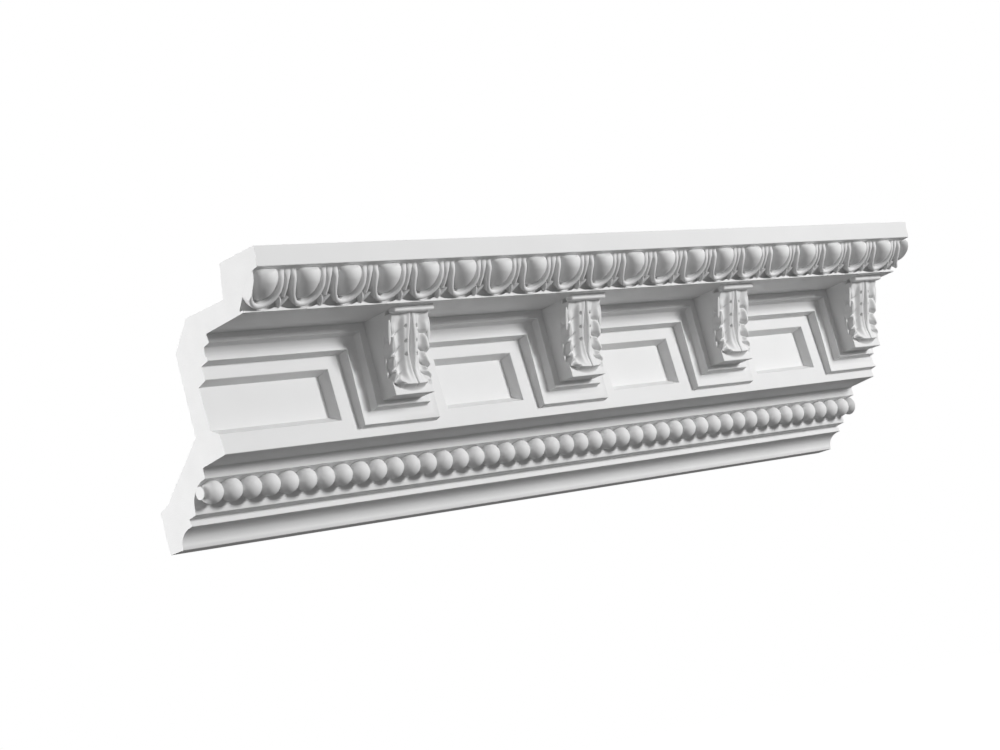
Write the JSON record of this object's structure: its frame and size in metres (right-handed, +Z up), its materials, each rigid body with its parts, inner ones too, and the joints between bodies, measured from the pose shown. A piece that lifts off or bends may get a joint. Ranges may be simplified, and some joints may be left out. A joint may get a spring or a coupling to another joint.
{
  "type": "cornice moulding section",
  "caption": "Straight length of classical cornice moulding with eggs and darts, leaf brackets over framed panels, a string of beads and a cove, cut square at both ends.",
  "frame": {"origin": "middle of the flat wall face at the foot of the back, half way along the length", "axes": "+X along the moulding towards its right end as seen from the room, +Y into the wall, +Z up to the ceiling"},
  "size_m": [0.88, 0.185, 0.2],
  "materials": {
    "white_foam": "rigid moulded foam, factory primed matte white on its moulded faces and left bare and slightly brighter on its sawn ends"
  },
  "bodies": {
    "root": {"cornice_moulding": "white_foam"}
  },
  "joints": []
}
